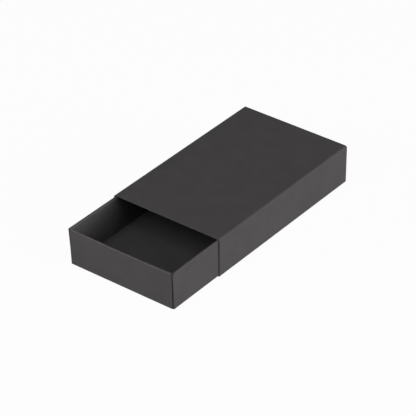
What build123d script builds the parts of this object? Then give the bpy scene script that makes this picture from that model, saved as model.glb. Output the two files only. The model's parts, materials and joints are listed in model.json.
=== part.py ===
"""Sliding drawer gift box: a folded card tray that slides through a card sleeve.

The sleeve is one sheet, folded into a tube and glued along an inside flap. The tray is one sheet,
folded up into four double walls: each wall rolls over at its rim, comes down inside and locks into
slots in the base, and the end walls hold the corner tabs of the side walls between their layers.
Every panel and flap of the two sheets is a separate solid that meets its neighbours at the creases.

Millimetres. X is the width, Y the slide and Z is up. The tray is drawn pulled out towards -Y.
The origin is the middle of the sleeve's underside.
"""

from build123d import *
from dataclasses import dataclass
import os

# Sleeve, outside sizes
sleeve_length = 131.0
sleeve_width = 80.0
sleeve_height = 26.5
sleeve_card = 0.4
top_fold_radius = 1.5  # outside of the two soft folds along the top
bottom_fold_radius = 0.6  # outside of the two crisp folds along the bottom

# Glued seam, inside the left side of the sleeve
glue_flap_height = 12.0
glue_flap_taper = 5.0  # how far each end of the flap slopes back at its free edge
glue_film = 0.1
glue_margin = 1.5  # bare card round the glue

# How the tray sits in the sleeve
pull_out = 43.5  # how far the tray is drawn out of the closed box
end_setback = 0.25  # each end of the closed tray lies this far inside the sleeve
side_clearance = 0.2  # on each side
top_clearance = 0.5

# Tray walls
tray_card = 0.4
side_wall_gap = 0.9  # between the two layers of a side wall
base_fold_radius = 0.6  # outside of the folds between the base and the walls

# Corners of the tray
end_wall_inset = 1.2  # the end walls stop this far short of the tray's sides
tab_play = 0.5  # between an end wall's outer layer and the corner tab behind it
tab_length = 18.0
tab_headroom = 1.1  # from the top of the tray down to a corner tab
tab_foot_gap = 0.5  # from the underside of the tray up to a corner tab
tab_trim = 3.0  # cut off the two corners of a tab's free end
corner_fold_radius = 0.6
corner_fold_headroom = 0.4  # from the top of the tray down to the fold of a corner tab
corner_fold_foot_gap = 0.1  # from the underside of the tray up to the same fold
corner_relief_radius = 0.4  # notch in the base where two folds meet
rim_gap = 0.2  # between an end wall and the side walls that butt against it

# Lock tabs at the foot of the inner layers
lock_tab_width = 12.0
lock_tab_recess = 0.1  # short of the base's underside
slot_clearance = 0.1
end_lock_tab_spacing = 38.0
side_lock_tab_spacing = 70.0

# Places that follow from the sizes above
sleeve_right = sleeve_width / 2
sleeve_left = -sleeve_right
sleeve_back = sleeve_length / 2
sleeve_front = -sleeve_back
flap_outer_face = sleeve_left + sleeve_card + glue_film

tray_left = flap_outer_face + sleeve_card + side_clearance
tray_right = sleeve_right - sleeve_card - side_clearance
tray_front = sleeve_front + end_setback - pull_out
tray_back = sleeve_back - end_setback - pull_out
tray_underside = sleeve_card
tray_width = tray_right - tray_left
tray_length = tray_back - tray_front
tray_height = sleeve_height - 2 * sleeve_card - top_clearance

# An end wall holds a corner tab between its two layers; a side wall is hollow.
tab_setback = tray_card + tab_play  # from an end wall's outer face to its corner tabs
end_wall_thickness = tab_setback + 2 * tray_card
side_wall_thickness = 2 * tray_card + side_wall_gap


@dataclass
class Wall:
    """One double wall of the tray, drawn on the plane at the corner where its run begins.
    Local x goes inwards from the wall's outer face, local y up from the tray's underside and
    local z along the wall."""

    plane: Plane
    run: float  # the tray's size along the wall
    thickness: float
    outer_inset: float  # how far the outer layer stops short of each end of the run
    inner_inset: float  # the same for the rim and the inner layer
    lock_tab_spacing: float


def end_wall(corner_x, end_y, along, inward):
    plane = Plane((corner_x, end_y, tray_underside), x_dir=(0, inward, 0), z_dir=(along, 0, 0))
    inset = end_wall_inset
    return Wall(plane, tray_width, end_wall_thickness, inset, inset, end_lock_tab_spacing)


def side_wall(side_x, corner_y, along, inward):
    plane = Plane((side_x, corner_y, tray_underside), x_dir=(inward, 0, 0), z_dir=(0, along, 0))
    outer_inset = tab_setback + corner_fold_radius
    inner_inset = end_wall_thickness + rim_gap
    return Wall(
        plane, tray_length, side_wall_thickness, outer_inset, inner_inset, side_lock_tab_spacing
    )


walls = {
    "front": end_wall(tray_left, tray_front, along=1, inward=1),
    "back": end_wall(tray_right, tray_back, along=-1, inward=-1),
    "left": side_wall(tray_left, tray_back, along=-1, inward=1),
    "right": side_wall(tray_right, tray_front, along=1, inward=-1),
}

# Each corner's side face and the way in from it, then its end face and the way in from that.
corners = {
    "front_left": (tray_left, 1, tray_front, 1),
    "front_right": (tray_right, -1, tray_front, 1),
    "back_left": (tray_left, 1, tray_back, -1),
    "back_right": (tray_right, -1, tray_back, -1),
}

# The sleeve's cross-section: local x is X and local y is Z, and it is extruded to the front.
sleeve_section = Plane((0, sleeve_back, 0), x_dir=(1, 0, 0), z_dir=(0, -1, 0))


def save(piece, name):
    """Labels a finished piece and writes it under its name."""
    piece.part.label = name
    export_step(piece.part, f"parts/{name}.step")


def rectangle_between(x_1, y_1, x_2, y_2):
    """A sketch rectangle given by two opposite corners."""
    with Locations(((x_1 + x_2) / 2, (y_1 + y_2) / 2)):
        Rectangle(abs(x_2 - x_1), abs(y_2 - y_1))


def folded_strip(centre, outer_radius, thickness, start_angle, arc_size):
    """A sketch of card bent round a fold: a sector of a ring."""
    with BuildLine() as outline:
        outer = CenterArc(centre, outer_radius, start_angle, arc_size)
        inner = CenterArc(centre, outer_radius - thickness, start_angle, arc_size)
        Line(outer @ 0, inner @ 0)
        Line(outer @ 1, inner @ 1)
    make_face(outline.edges())


# ---- Sleeve ----


def make_sleeve_top_panel():
    with BuildPart() as panel:
        with BuildSketch(sleeve_section):
            rectangle_between(
                sleeve_left + top_fold_radius,
                sleeve_height - sleeve_card,
                sleeve_right - top_fold_radius,
                sleeve_height,
            )
        extrude(amount=sleeve_length)
    return panel


def make_sleeve_top_fold(side_x, inward):
    """The soft rounded fold between the top and a side. inward is +1 on the left, -1 on the right."""
    centre = (side_x + inward * top_fold_radius, sleeve_height - top_fold_radius)
    start_angle = 90 if inward > 0 else 0
    with BuildPart() as fold:
        with BuildSketch(sleeve_section):
            folded_strip(centre, top_fold_radius, sleeve_card, start_angle, 90)
        extrude(amount=sleeve_length)
    return fold


def make_sleeve_right_panel():
    """The right side, with the crisp fold at its foot."""
    with BuildPart() as panel:
        with BuildSketch(sleeve_section):
            rectangle_between(
                sleeve_right - sleeve_card,
                bottom_fold_radius,
                sleeve_right,
                sleeve_height - top_fold_radius,
            )
            fold_centre = (sleeve_right - bottom_fold_radius, bottom_fold_radius)
            folded_strip(fold_centre, bottom_fold_radius, sleeve_card, 270, 90)
        extrude(amount=sleeve_length)
    return panel


def make_sleeve_left_panel():
    """The left side, whose cut lower edge ends flush with the underside."""
    with BuildPart() as panel:
        with BuildSketch(sleeve_section):
            rectangle_between(
                sleeve_left,
                0,
                sleeve_left + sleeve_card,
                sleeve_height - top_fold_radius,
            )
        extrude(amount=sleeve_length)
    return panel


def make_sleeve_bottom_panel():
    with BuildPart() as panel:
        with BuildSketch(sleeve_section):
            rectangle_between(
                flap_outer_face + bottom_fold_radius,
                0,
                sleeve_right - bottom_fold_radius,
                sleeve_card,
            )
        extrude(amount=sleeve_length)
    return panel


def make_glue_flap():
    """The flap folded up from the bottom panel, inside the left side, with sloping ends."""
    fold_centre = (flap_outer_face + bottom_fold_radius, bottom_fold_radius)
    with BuildPart() as flap:
        with BuildSketch(sleeve_section):
            folded_strip(fold_centre, bottom_fold_radius, sleeve_card, 180, 90)
        extrude(amount=sleeve_length)
        with BuildSketch(Plane.YZ.offset(flap_outer_face)):
            Polygon(
                (sleeve_front, bottom_fold_radius),
                (sleeve_back, bottom_fold_radius),
                (sleeve_back - glue_flap_taper, glue_flap_height),
                (sleeve_front + glue_flap_taper, glue_flap_height),
                align=None,
            )
        extrude(amount=sleeve_card)
    return flap


def make_glue_line():
    """The film of glue between the flap and the left side."""
    end_margin = glue_flap_taper + glue_margin
    with BuildPart() as glue:
        with BuildSketch(Plane.YZ.offset(sleeve_left + sleeve_card)):
            rectangle_between(
                sleeve_front + end_margin,
                bottom_fold_radius + glue_margin,
                sleeve_back - end_margin,
                glue_flap_height - glue_margin,
            )
        extrude(amount=glue_film)
    return glue


# ---- Tray ----


def make_outer_layer(wall):
    """A wall's outer layer, with the fold at its foot."""
    with BuildPart() as layer:
        with BuildSketch(wall.plane.offset(wall.outer_inset)):
            rim_start = tray_height - wall.thickness / 2
            rectangle_between(0, base_fold_radius, tray_card, rim_start)
            folded_strip((base_fold_radius, base_fold_radius), base_fold_radius, tray_card, 180, 90)
        extrude(amount=wall.run - 2 * wall.outer_inset)
    return layer


def make_rim(wall):
    """The rolled top of a wall, half a turn of card."""
    radius = wall.thickness / 2
    with BuildPart() as rim:
        with BuildSketch(wall.plane.offset(wall.inner_inset)):
            folded_strip((radius, tray_height - radius), radius, tray_card, 0, 180)
        extrude(amount=wall.run - 2 * wall.inner_inset)
    return rim


def lock_tab_places(wall, length):
    """Where each of a wall's two lock tabs starts along its run, for a tab of that length."""
    middle = wall.run / 2
    return [middle + side * wall.lock_tab_spacing / 2 - length / 2 for side in (-1, 1)]


def make_inner_layer(wall):
    """A wall's inner layer, which stands on the base and locks into it with two tabs."""
    face = wall.thickness - tray_card
    with BuildPart() as layer:
        with BuildSketch(wall.plane.offset(wall.inner_inset)):
            rectangle_between(face, tray_card, wall.thickness, tray_height - wall.thickness / 2)
        extrude(amount=wall.run - 2 * wall.inner_inset)
        for start in lock_tab_places(wall, lock_tab_width):
            with BuildSketch(wall.plane.offset(start)):
                rectangle_between(face, lock_tab_recess, wall.thickness, tray_card)
            extrude(amount=lock_tab_width)
    return layer


def make_base():
    """The tray's floor, relieved at its corners. The slots for the lock tabs open onto the folds."""
    with BuildPart() as base:
        with BuildSketch(Plane.XY.offset(tray_underside)):
            rectangle_between(
                tray_left + base_fold_radius,
                tray_front + base_fold_radius,
                tray_right - base_fold_radius,
                tray_back - base_fold_radius,
            )
            for side_x, inward_x, end_y, inward_y in corners.values():
                relief_x = side_x + inward_x * base_fold_radius
                relief_y = end_y + inward_y * base_fold_radius
                with Locations((relief_x, relief_y)):
                    Circle(corner_relief_radius, mode=Mode.SUBTRACT)
        extrude(amount=tray_card)
        slot_length = lock_tab_width + 2 * slot_clearance
        for wall in walls.values():
            slot_end = wall.thickness + slot_clearance
            for start in lock_tab_places(wall, slot_length):
                with BuildSketch(wall.plane.offset(start)):
                    rectangle_between(base_fold_radius, 0, slot_end, tray_card)
                extrude(amount=slot_length, mode=Mode.SUBTRACT)
    return base


def make_corner_tab(side_x, inward_x, end_y, inward_y):
    """The tab folded off the end of a side wall, which lies inside the end wall. Its fold is the
    tray's corner and is as tall as the wall; the tab itself is cut lower, clear of base and rim."""

    def at(from_side, from_end):
        return (side_x + inward_x * from_side, end_y + inward_y * from_end)

    outer_bend = corner_fold_radius
    inner_bend = corner_fold_radius - tray_card
    diagonal = 1 - 0.5**0.5  # how far the middle of a bend stays off its corner, in radii
    outer_face = tab_setback
    inner_face = tab_setback + tray_card
    with BuildPart() as tab:
        with BuildSketch(Plane.XY.offset(tray_underside + corner_fold_foot_gap)):
            with BuildLine():
                ThreePointArc(
                    at(0, outer_face + outer_bend),
                    at(outer_bend * diagonal, outer_face + outer_bend * diagonal),
                    at(outer_bend, outer_face),
                )
                Line(at(outer_bend, outer_face), at(tab_length, outer_face))
                Line(at(tab_length, outer_face), at(tab_length, inner_face))
                Line(at(tab_length, inner_face), at(outer_bend, inner_face))
                ThreePointArc(
                    at(outer_bend, inner_face),
                    at(tray_card + inner_bend * diagonal, inner_face + inner_bend * diagonal),
                    at(tray_card, outer_face + outer_bend),
                )
                Line(at(tray_card, outer_face + outer_bend), at(0, outer_face + outer_bend))
            make_face()
        fold_top = tray_height - corner_fold_headroom
        tab_top = tray_height - tab_headroom
        extrude(amount=fold_top - corner_fold_foot_gap)
        for cut_low, cut_high in ((corner_fold_foot_gap, tab_foot_gap), (tab_top, fold_top)):
            with BuildSketch(Plane.XY.offset(tray_underside + cut_low)):
                rectangle_between(*at(outer_bend, outer_face), *at(tab_length, inner_face))
            extrude(amount=cut_high - cut_low, mode=Mode.SUBTRACT)
        free_end = tab.faces().sort_by(Axis.X, reverse=inward_x < 0)[-1]
        chamfer(free_end.edges().filter_by(Axis.Y), length=tab_trim)
    return tab


# ---- Build every piece ----

os.makedirs("parts", exist_ok=True)

save(make_sleeve_top_panel(), "sleeve_top_panel")
save(make_sleeve_top_fold(sleeve_left, 1), "sleeve_top_left_fold")
save(make_sleeve_top_fold(sleeve_right, -1), "sleeve_top_right_fold")
save(make_sleeve_left_panel(), "sleeve_left_panel")
save(make_sleeve_right_panel(), "sleeve_right_panel")
save(make_sleeve_bottom_panel(), "sleeve_bottom_panel")
save(make_glue_flap(), "sleeve_glue_flap")
save(make_glue_line(), "sleeve_glue_line")

save(make_base(), "tray_base")
for side, wall in walls.items():
    save(make_outer_layer(wall), f"tray_{side}_outer_wall")
    save(make_rim(wall), f"tray_{side}_rim")
    save(make_inner_layer(wall), f"tray_{side}_inner_wall")
for corner, place in corners.items():
    save(make_corner_tab(*place), f"tray_{corner}_corner_tab")
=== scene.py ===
"""Sliding drawer gift box of matte black card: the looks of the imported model.

Metres, in the row's frame: X is the width, the tray slides along Y and Z is up.
"""

import json
import math

import bmesh
import bpy
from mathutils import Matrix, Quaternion, Vector


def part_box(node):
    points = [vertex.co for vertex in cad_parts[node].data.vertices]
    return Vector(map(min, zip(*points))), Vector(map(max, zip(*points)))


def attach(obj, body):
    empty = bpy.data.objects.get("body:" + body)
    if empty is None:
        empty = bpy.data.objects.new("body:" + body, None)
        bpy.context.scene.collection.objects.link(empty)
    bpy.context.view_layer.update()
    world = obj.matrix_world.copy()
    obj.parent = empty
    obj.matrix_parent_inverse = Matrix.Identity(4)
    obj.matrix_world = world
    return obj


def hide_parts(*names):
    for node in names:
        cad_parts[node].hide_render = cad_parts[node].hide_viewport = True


MM = 0.001

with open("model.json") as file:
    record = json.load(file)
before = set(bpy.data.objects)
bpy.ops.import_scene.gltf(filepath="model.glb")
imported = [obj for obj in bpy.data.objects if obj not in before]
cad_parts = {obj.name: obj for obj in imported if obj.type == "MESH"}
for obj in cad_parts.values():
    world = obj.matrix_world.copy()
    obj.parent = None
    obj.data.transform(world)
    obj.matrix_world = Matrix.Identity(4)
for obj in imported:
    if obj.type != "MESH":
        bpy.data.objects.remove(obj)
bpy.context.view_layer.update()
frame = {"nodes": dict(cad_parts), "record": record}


def direction(azimuth, elevation):
    """The unit vector towards a place, by its angles in degrees. Azimuth 0 is the front of the
    box and 90 its right side."""
    azimuth = math.radians(azimuth)
    elevation = math.radians(elevation)
    level = math.cos(elevation)
    return Vector((math.sin(azimuth) * level, -math.cos(azimuth) * level, math.sin(elevation)))


def add_object(name, data):
    made = bpy.data.objects.new(name, data)
    bpy.context.scene.collection.objects.link(made)
    return made


# ---- Camera ----

VIEW_AZIMUTH = 37.54
VIEW_ELEVATION = 33.37
VIEW_ROLL = -0.08
VIEW_DISTANCE = 1404.3 * MM
VIEW_TARGET = Vector((-0.77, -23.60, 10.58)) * MM
LENS = 199.4
SENSOR = 36.0
CLIP_START = 0.1
CLIP_END = 20.0


def add_camera():
    back = direction(VIEW_AZIMUTH, VIEW_ELEVATION)
    data = bpy.data.cameras.new("camera")
    data.lens = LENS
    data.sensor_width = SENSOR
    data.clip_start = CLIP_START
    data.clip_end = CLIP_END
    camera = add_object("camera", data)
    camera.location = VIEW_TARGET + back * VIEW_DISTANCE
    roll = Quaternion((0, 0, 1), math.radians(VIEW_ROLL))
    camera.rotation_mode = "QUATERNION"
    camera.rotation_quaternion = (-back).to_track_quat("-Z", "Y") @ roll
    bpy.context.scene.camera = camera


# ---- Shader helpers ----

# The sockets that a Mix node uses when it is set to colours.
MIX_SHARE = 0
MIX_FIRST = 6
MIX_SECOND = 7
MIX_RESULT = 2


class Shader:
    """The node tree of a material or a world. Values may be numbers or other nodes' outputs."""

    def __init__(self, owner):
        owner.use_nodes = True
        self.tree = owner.node_tree
        self.tree.nodes.clear()

    def node(self, kind, inputs=(), **settings):
        made = self.tree.nodes.new(kind)
        for name, value in settings.items():
            setattr(made, name, value)
        for name, value in dict(inputs).items():
            self.put(value, made.inputs[name])
        return made

    def put(self, value, socket):
        if isinstance(value, bpy.types.NodeSocket):
            self.tree.links.new(value, socket)
        else:
            socket.default_value = value

    def math(self, operation, a, b=0.0, c=0.0):
        return self.node("ShaderNodeMath", {0: a, 1: b, 2: c}, operation=operation).outputs[0]

    def remap(self, value, low, high, to_low=0.0, to_high=1.0, smooth=False):
        inputs = {
            "Value": value,
            "From Min": low,
            "From Max": high,
            "To Min": to_low,
            "To Max": to_high,
        }
        kind = "SMOOTHSTEP" if smooth else "LINEAR"
        return self.node("ShaderNodeMapRange", inputs, interpolation_type=kind).outputs["Result"]

    def noise(self, point, grain, detail=2.0, roughness=0.5):
        """Noise whose features are about grain metres across, from 0 to 1."""
        inputs = {"Vector": point, "Scale": 1 / grain, "Detail": detail, "Roughness": roughness}
        return self.node("ShaderNodeTexNoise", inputs).outputs["Fac"]

    def stretched(self, point, scale, turn=(0, 0, 0)):
        """A point for a noise that is long where the scale is small. The turn comes after the
        scale, so it gives another noise and leaves the stretch along the axes."""
        inputs = {"Vector": point, "Rotation": turn, "Scale": scale}
        return self.node("ShaderNodeMapping", inputs).outputs["Vector"]

    def mix(self, share, first, second):
        inputs = {MIX_SHARE: share, MIX_FIRST: first, MIX_SECOND: second}
        return self.node("ShaderNodeMix", inputs, data_type="RGBA").outputs[MIX_RESULT]

    def finish(self, surface, kind="ShaderNodeOutputMaterial"):
        self.node(kind, {"Surface": surface.outputs[0]})


def new_material(name):
    material = bpy.data.materials.new(name)
    return material, Shader(material)


# ---- Card ----

CARD = (0.0510, 0.0478, 0.0498, 1.0)
CARD_LIGHT = (0.0633, 0.0595, 0.0620, 1.0)
FIBRE = (0.0770, 0.0720, 0.0750, 1.0)
# Paler colour of bends and cut ends: partly real wear, partly a painted highlight.
WEAR_AND_HIGHLIGHT = (0.1070, 0.1010, 0.1050, 1.0)

CLOUD_GRAIN = 14 * MM
MOTTLE_GRAIN = 1.1 * MM
FIBRE_GRAIN = 0.18 * MM
TOOTH_GRAIN = 0.12 * MM
PATCH_GRAIN = 2.5 * MM
CORE_GRAIN = 0.25 * MM

# The value at which each one starts to show, and the value at which it shows in full.
TONE_RANGE = (0.38, 0.62)
FIBRE_RANGE = (0.62, 0.8)
BEND_RANGE = (0.06, 0.25)
PATCH_RANGE = (0.3, 0.7)
CUT_RANGE = (0.8, 0.95)
CORE_RANGE = (0.3, 0.7)
MOTTLE_RANGE = (0.2, 0.8)

CLOUD_SHARE = 0.35
MOTTLE_SHARE = 0.65
FIBRE_SHARE = 0.35
FIBRE_SCALE = 0.1  # along a fibre, against 1 across it
FIBRE_TURNS = (0.5, 0.3)  # radians, so that the two sets of fibres differ
LEAST_WEAR_AND_HIGHLIGHT = 0.5  # of a fold, between its rubbed patches
CORE_SHARES = (0.35, 0.75)  # how pale the darkest and the palest grain of a cut end is
TOOTH_HEIGHT = 0.6
FIBRE_HEIGHT = 0.4
BUMP_STRENGTH = 0.25
BUMP_HEIGHT = 0.03 * MM
CARD_ROUGHNESS = (0.74, 0.86)
CARD_SPECULAR = 0.15


def card_material(name, fold_wear_and_highlight, cut_core_and_highlight=0.0):
    """Matte black card: cloudy, flecked with fibres, paler where it is bent and on its cut ends.
    The paleness is partly real wear and a paler core, and partly a painted highlight; the two
    shares say how pale these are, from 0 to 1. The cut ends face along Y."""
    material, shader = new_material(name)
    coordinates = shader.node("ShaderNodeTexCoord").outputs
    point = coordinates["Object"]
    normal = shader.node("ShaderNodeSeparateXYZ", {0: coordinates["Normal"]}).outputs
    facing = {axis: shader.math("ABSOLUTE", normal[axis]) for axis in "XYZ"}

    cloud = shader.noise(point, CLOUD_GRAIN, detail=3)
    mottle = shader.noise(point, MOTTLE_GRAIN, detail=3, roughness=0.6)
    tooth = shader.noise(point, TOOTH_GRAIN, detail=2, roughness=0.7)
    along_y = shader.stretched(point, (1, FIBRE_SCALE, 1), (0, 0, FIBRE_TURNS[0]))
    along_x = shader.stretched(point, (FIBRE_SCALE, 1, 1), (0, 0, FIBRE_TURNS[1]))
    fibres = [shader.noise(place, FIBRE_GRAIN, detail=1) for place in (along_y, along_x)]
    fibres = shader.remap(shader.math("MAXIMUM", *fibres), *FIBRE_RANGE)

    tone = shader.math("MULTIPLY", mottle, MOTTLE_SHARE)
    tone = shader.math("MULTIPLY_ADD", cloud, CLOUD_SHARE, tone)
    color = shader.mix(shader.remap(tone, *TONE_RANGE), CARD, CARD_LIGHT)
    color = shader.mix(shader.math("MULTIPLY", fibres, FIBRE_SHARE), color, FIBRE)

    # A bend faces along two axes at once, and a flat panel along one.
    bend = shader.math("MULTIPLY", facing["X"], facing["Y"])
    bend = shader.math("MULTIPLY_ADD", facing["Y"], facing["Z"], bend)
    bend = shader.math("MULTIPLY_ADD", facing["Z"], facing["X"], bend)
    crease = shader.remap(bend, *BEND_RANGE, smooth=True)
    patches = shader.noise(point, PATCH_GRAIN, detail=3)
    rubbed_and_highlit = shader.remap(patches, *PATCH_RANGE, LEAST_WEAR_AND_HIGHLIGHT * fold_wear_and_highlight, fold_wear_and_highlight)
    # Bends are painted paler: partly rubbed wear, partly a painted highlight along the fold.
    color = shader.mix(shader.math("MULTIPLY", crease, rubbed_and_highlit), color, WEAR_AND_HIGHLIGHT)
    # Cut ends are painted paler: partly the card's paler core, partly a painted highlight.
    cut = shader.remap(facing["Y"], *CUT_RANGE, 0, cut_core_and_highlight, smooth=True)
    core = shader.remap(shader.noise(point, CORE_GRAIN, detail=2), *CORE_RANGE, *CORE_SHARES)
    color = shader.mix(shader.math("MULTIPLY", cut, core), color, WEAR_AND_HIGHLIGHT)

    height = shader.math("MULTIPLY", fibres, FIBRE_HEIGHT)
    height = shader.math("MULTIPLY_ADD", tooth, TOOTH_HEIGHT, height)
    relief = {"Height": height, "Strength": BUMP_STRENGTH, "Distance": BUMP_HEIGHT}
    bump = shader.node("ShaderNodeBump", relief)
    surface = {
        "Base Color": color,
        "Roughness": shader.remap(mottle, *MOTTLE_RANGE, *CARD_ROUGHNESS),
        "Specular IOR Level": CARD_SPECULAR,
        "Normal": bump.outputs["Normal"],
    }
    shader.finish(shader.node("ShaderNodeBsdfPrincipled", surface))
    return material


# ---- Dry glue ----

GLUE_DARK = (0.42, 0.40, 0.35, 1.0)
GLUE_PALE = (0.60, 0.58, 0.53, 1.0)
GLUE_ROUGHNESS = 0.4
STREAK_GRAIN = 0.6 * MM
STREAK_SCALE = 0.15  # along a streak, against 1 across it


def glue_material():
    material, shader = new_material("dry_glue")
    point = shader.node("ShaderNodeTexCoord").outputs["Object"]
    along_y = shader.stretched(point, (1, STREAK_SCALE, 1))
    streaks = shader.noise(along_y, STREAK_GRAIN, detail=3)
    color = shader.mix(streaks, GLUE_DARK, GLUE_PALE)
    surface = {"Base Color": color, "Roughness": GLUE_ROUGHNESS}
    shader.finish(shader.node("ShaderNodeBsdfPrincipled", surface))
    return material


# ---- Card that springs back ----
# Folded card stands a little off true. The tray's end walls lean outwards and bow, its section
# leans over to the left into the room above the glue flap, and its rims slope down to the inside.

GRID = 4 * MM  # spacing of the cuts that let a flat panel bend
MERGE = 0.001 * MM
SMOOTH_ANGLE = math.radians(35)
WALL = 1.7 * MM  # both layers and the gap between them
CORNER_LEAN = {"left": 1.15 * MM, "right": 0.75 * MM}  # outwards, at the top of an end
END_WALL_LEAN = 0.74 * MM  # at the middle of an end wall's rim
END_WALL_BOW = 0.65 * MM  # how much less it leans at its ends
LEAN_OVER = {"left": 0.60 * MM, "right": 0.33 * MM}  # to the left, at the rim
RIGHT_SPREAD = 0.16 * MM  # to the right, at the ends of the tray's right side
FADE_POWER = 3  # how fast lean and spread fade from the tray's ends to its middle
END_RIM_SLOPE = 0.6 * MM  # from the outer to the inner layer
SIDE_RIM_SLOPE = 0.34 * MM
CORNER_FOLD = 0.6 * MM  # from a side of the tray to where a corner tab leaves its fold
TAB_TUCK = 0.9 * MM  # from a side of the tray to where the tab lies behind its end wall
SLOT_PLAY = 0.1 * MM  # the base closes this gap beside the lock tabs, so no light comes through

tray_nodes = frame["record"]["behaviour"]["bodies"]["tray"]
tray_corners = [corner for name in tray_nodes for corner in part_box(name)]
tray_low = Vector([min(corner[axis] for corner in tray_corners) for axis in range(3)])
tray_high = Vector([max(corner[axis] for corner in tray_corners) for axis in range(3)])


def clamp(value):
    return min(max(value, 0), 1)


def between(pair, from_left):
    return pair["left"] + (pair["right"] - pair["left"]) * from_left


def tray_part(name):
    """Where in the tray a node belongs: to its base, a corner, an end wall or a side."""
    if "base" in name:
        return "base"
    if "corner_tab" in name:
        return "corner"
    return "end_wall" if "front" in name or "back" in name else "side"


def closed_slot(from_low, from_high):
    """How far an edge of the base moves up to the lock tabs, if it is the inner edge of a slot."""
    if abs(from_low - WALL - SLOT_PLAY) < MERGE:
        return -SLOT_PLAY
    return SLOT_PLAY if abs(from_high - WALL - SLOT_PLAY) < MERGE else 0


def sprung(point, part):
    """Where a point of the true tray moves to as the card springs back."""
    rise = clamp((point.z - tray_low.z) / (tray_high.z - tray_low.z))
    from_left = clamp((point.x - tray_low.x) / (tray_high.x - tray_low.x))
    middle = (tray_low.y + tray_high.y) / 2
    reach = (point.y - middle) / (tray_high.y - middle - WALL)
    nearness = min(abs(reach), 1) ** FADE_POWER

    from_side = min(point.x - tray_low.x, tray_high.x - point.x)
    from_end = min(point.y - tray_low.y, tray_high.y - point.y)
    tucked = clamp((from_side - CORNER_FOLD) / (TAB_TUCK - CORNER_FOLD))
    with_end_wall = {"end_wall": 1, "corner": tucked, "side": 0, "base": 0}[part]
    corner_lean = between(CORNER_LEAN, from_left)
    wall_lean = END_WALL_LEAN - END_WALL_BOW * (2 * from_left - 1) ** 2
    lean = corner_lean + (wall_lean - corner_lean) * with_end_wall
    outwards = math.copysign(nearness, reach) * lean * rise
    sideways = RIGHT_SPREAD * from_left * nearness - between(LEAN_OVER, from_left) * rise**2
    slope = END_RIM_SLOPE if part == "end_wall" else SIDE_RIM_SLOPE
    inwards = clamp(min(from_side, from_end) / WALL)
    if part == "base":
        sideways += closed_slot(point.x - tray_low.x, tray_high.x - point.x)
        outwards += closed_slot(point.y - tray_low.y, tray_high.y - point.y)
    return point + Vector((sideways, outwards, -slope * inwards * rise))


def sliced(source):
    """A copy of a mesh, cut along evenly spaced planes and where the corner tabs are tucked in."""
    sheet = bmesh.new()
    sheet.from_mesh(source)
    bmesh.ops.remove_doubles(sheet, verts=sheet.verts, dist=MERGE)
    for axis in range(3):
        across = Vector([float(axis == other) for other in range(3)])
        places = [vertex.co[axis] for vertex in sheet.verts]
        steps = range(math.ceil(min(places) / GRID), math.floor(max(places) / GRID) + 1)
        cuts = [step * GRID for step in steps]
        if axis == 0:
            cuts += [tray_low.x + TAB_TUCK, tray_high.x - TAB_TUCK]
        for cut in cuts:
            parts = [*sheet.verts, *sheet.edges, *sheet.faces]
            bmesh.ops.bisect_plane(
                sheet, geom=parts, dist=MERGE, plane_co=across * cut, plane_no=across
            )
    return sheet


def dress(piece, material):
    piece.data.materials.clear()
    piece.data.materials.append(material)


def sprung_piece(node, part, material):
    """A bent copy of one of the tray's flat nodes, which stands for it."""
    sheet = sliced(node.data)
    for vertex in sheet.verts:
        vertex.co = sprung(vertex.co, part)
    mesh = bpy.data.meshes.new(node.name + "_card")
    sheet.to_mesh(mesh)
    sheet.free()
    mesh.shade_smooth()
    mesh.set_sharp_from_angle(angle=SMOOTH_ANGLE)
    piece = add_object(node.name + "_card", mesh)
    normals = piece.modifiers.new("even_normals", "WEIGHTED_NORMAL")
    normals.keep_sharp = True
    dress(piece, material)
    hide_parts(node.name)
    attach(piece, "tray")


# ---- The box ----

# Per part, how pale bends and cut ends are painted: partly real wear, partly a painted highlight.
tray_card = {
    "end_wall": card_material("card_of_end_walls", fold_wear_and_highlight=0.8),
    "corner": card_material("card_of_corners", fold_wear_and_highlight=0.35),
    "side": card_material("card_of_sides", fold_wear_and_highlight=0.3, cut_core_and_highlight=0.5),
}
tray_card["base"] = tray_card["side"]
sleeve_card = card_material("card_of_sleeve", fold_wear_and_highlight=0.15, cut_core_and_highlight=1.0)
glue = glue_material()

for name, node in frame["nodes"].items():
    if name == "sleeve_glue_line":
        dress(node, glue)
    elif name not in tray_nodes:
        dress(node, sleeve_card)
for name in tray_nodes:
    part = tray_part(name)
    sprung_piece(frame["nodes"][name], part, tray_card[part])


# ---- Studio ----

WHITE = (1.0, 1.0, 1.0, 1.0)
FLOOR_COLOR = (0.8, 0.8, 0.8, 1.0)
FLOOR_SIZE = 6.0
FLOOR_GLOW_SHARE = 0.96
SKY_STRENGTH = 0.02
LAMP_DISTANCE = 1.6

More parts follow.
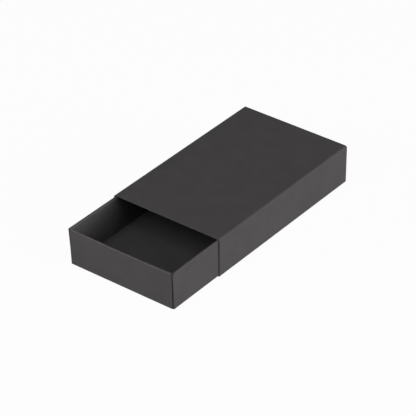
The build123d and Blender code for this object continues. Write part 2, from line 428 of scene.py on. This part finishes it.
# Each lamp's azimuth and elevation as seen from the box, its width, its height and its power.
LAMPS = {
    "side_key": (110, 9, 1.8, 0.45, 26.0),
    "left_key": (-45, 9, 0.8, 0.45, 13.7),
    "front_fill": (0, 35, 0.8, 0.8, 5.9),
    "side_fill": (90, 35, 0.8, 0.8, 3.4),
    "overhead": (0, 60, 0.8, 0.8, 6.3),
}


def seen_directly(shader):
    """1 for rays from the camera, a mirror or glass, and 0 for those that light a matt surface."""
    path = shader.node("ShaderNodeLightPath").outputs
    seen = shader.math("MAXIMUM", path["Is Camera Ray"], path["Is Glossy Ray"])
    return shader.math("MAXIMUM", seen, path["Is Transmission Ray"])


def add_floor():
    half = FLOOR_SIZE / 2
    mesh = bpy.data.meshes.new("floor")
    corners = [(-half, -half, 0), (half, -half, 0), (half, half, 0), (-half, half, 0)]
    mesh.from_pydata(corners, [], [(0, 1, 2, 3)])
    floor = add_object("floor", mesh)
    material, shader = new_material("pale_floor")
    matt = shader.node("ShaderNodeBsdfDiffuse", {"Color": FLOOR_COLOR})
    glow = shader.node("ShaderNodeEmission", {"Color": WHITE, "Strength": 1.0})
    share = shader.math("MULTIPLY", seen_directly(shader), FLOOR_GLOW_SHARE)
    both = {0: share, 1: matt.outputs[0], 2: glow.outputs[0]}
    shader.finish(shader.node("ShaderNodeMixShader", both))
    mesh.materials.append(material)


def add_sky():
    world = bpy.data.worlds.new("studio")
    shader = Shader(world)
    strength = shader.remap(seen_directly(shader), 0, 1, SKY_STRENGTH, 1.0)
    sky = shader.node("ShaderNodeBackground", {"Color": WHITE, "Strength": strength})
    shader.finish(sky, "ShaderNodeOutputWorld")
    bpy.context.scene.world = world


def add_lamp(name, azimuth, elevation, width, height, power):
    away = direction(azimuth, elevation)
    data = bpy.data.lights.new(name, "AREA")
    data.shape = "RECTANGLE"
    data.size = width
    data.size_y = height
    data.energy = power
    lamp = add_object(name, data)
    lamp.location = VIEW_TARGET + away * LAMP_DISTANCE
    lamp.rotation_mode = "QUATERNION"
    lamp.rotation_quaternion = away.to_track_quat("Z", "Y")


add_camera()
add_floor()
add_sky()
for name, place in LAMPS.items():
    add_lamp(name, *place)

bpy.context.scene.view_settings.view_transform = "Standard"
